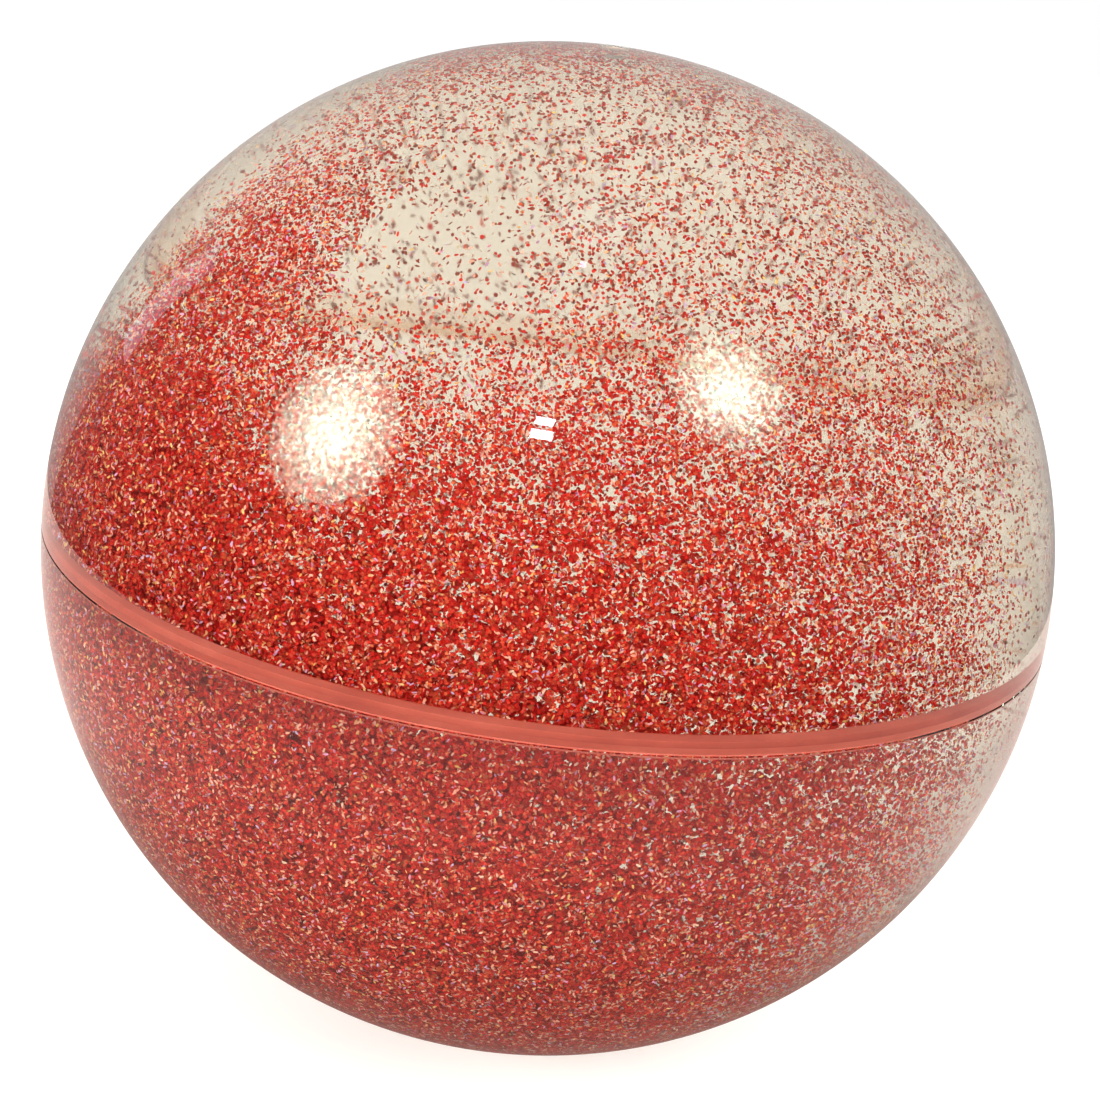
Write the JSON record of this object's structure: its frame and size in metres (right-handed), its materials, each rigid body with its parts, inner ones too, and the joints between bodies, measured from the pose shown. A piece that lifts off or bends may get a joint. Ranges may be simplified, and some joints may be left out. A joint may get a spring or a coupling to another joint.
{
  "type": "bouncy ball",
  "caption": "Clear thick-walled bouncy ball in bonded half shells, filled with liquid and swirling red glitter, with a small fill plug at the top.",
  "frame": {"origin": "centre of the ball, on the plane of the rim joint", "axes": "+Z from the centre through the fill plug; the rim joint lies in the XY plane; the picture looks from -Y, 17.9 degrees above that plane, with +X to the right"},
  "size_m": [0.1, 0.1, 0.1],
  "materials": {
    "clear_shell": "polished clear soft plastic",
    "bond_film": "cloudy bonded film",
    "plug_rubber": "clear rubber with a cut edge",
    "clear_liquid": "clear liquid, slightly cream",
    "red_glitter": "metallised film flakes, red",
    "pale_glitter": "metallised film flakes, pale pink with a rainbow flash"
  },
  "bodies": {
    "shell": {"upper_shell": "clear_shell", "lower_shell": "clear_shell", "seam_bond": "bond_film", "fill_plug": "plug_rubber"},
    "liquid": {"liquid_fill": "clear_liquid", "glitter_red": "red_glitter", "glitter_pale": "pale_glitter"}
  },
  "joints": [
    {"name": "swirl", "type": "hinge", "parent": "shell", "child": "liquid", "pos_m": [0, 0, 0], "axis": [0, 0, 1], "continuous": true}
  ]
}
